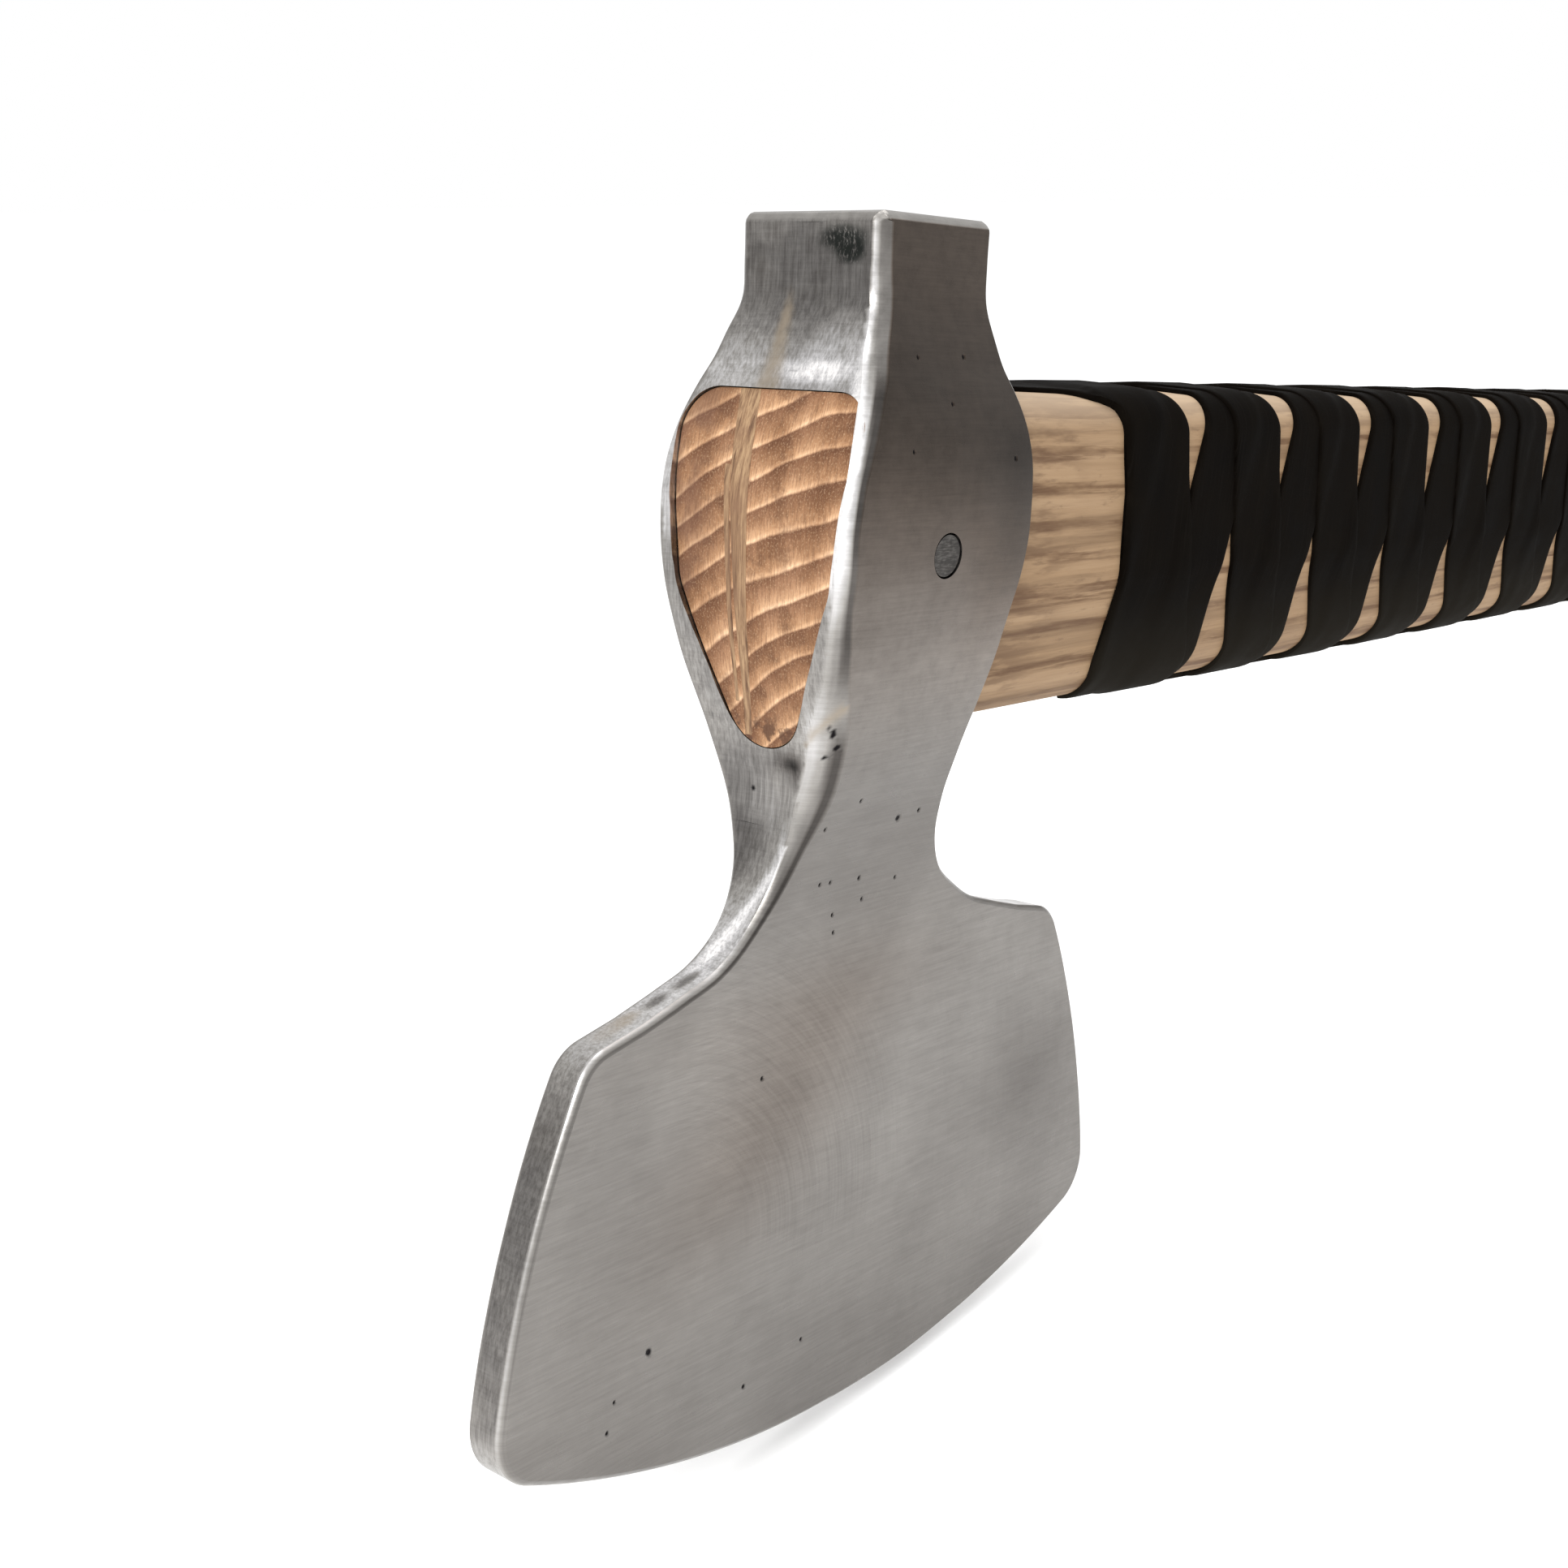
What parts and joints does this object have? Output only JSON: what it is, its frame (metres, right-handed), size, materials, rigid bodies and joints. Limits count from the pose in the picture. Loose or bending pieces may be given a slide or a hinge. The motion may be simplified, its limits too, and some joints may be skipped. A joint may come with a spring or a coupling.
{
  "type": "axe with hammer poll",
  "caption": "One-handed axe with a blunt flared blade, hammer poll, wedged and pinned wooden haft and a criss-cross rubber grip wrap.",
  "frame": {"origin": "centre of the eye on the haft axis", "axes": "+X along the haft from the head to the butt, +Z towards the hammer poll with the blade towards -Z, +Y across the cheeks"},
  "size_m": [0.7916, 0.032, 0.1521],
  "materials": {
    "head_steel": "ground and satin brushed, with burnished corners",
    "haft_wood": "bare sanded ash",
    "wedge_wood": "bare wood, ground flush",
    "pin_steel": "peened and ground flush",
    "wrap_rubber": "matte",
    "tack_steel": "dull, slightly domed look"
  },
  "bodies": {
    "root": {"axe_head": "head_steel", "haft": "haft_wood", "eye_wedge_main": "wedge_wood", "eye_wedge_side": "wedge_wood", "cross_pin": "pin_steel", "grip_wrap_first_strip": "wrap_rubber", "grip_wrap_second_strip": "wrap_rubber", "wrap_tacks": "tack_steel"}
  },
  "joints": []
}
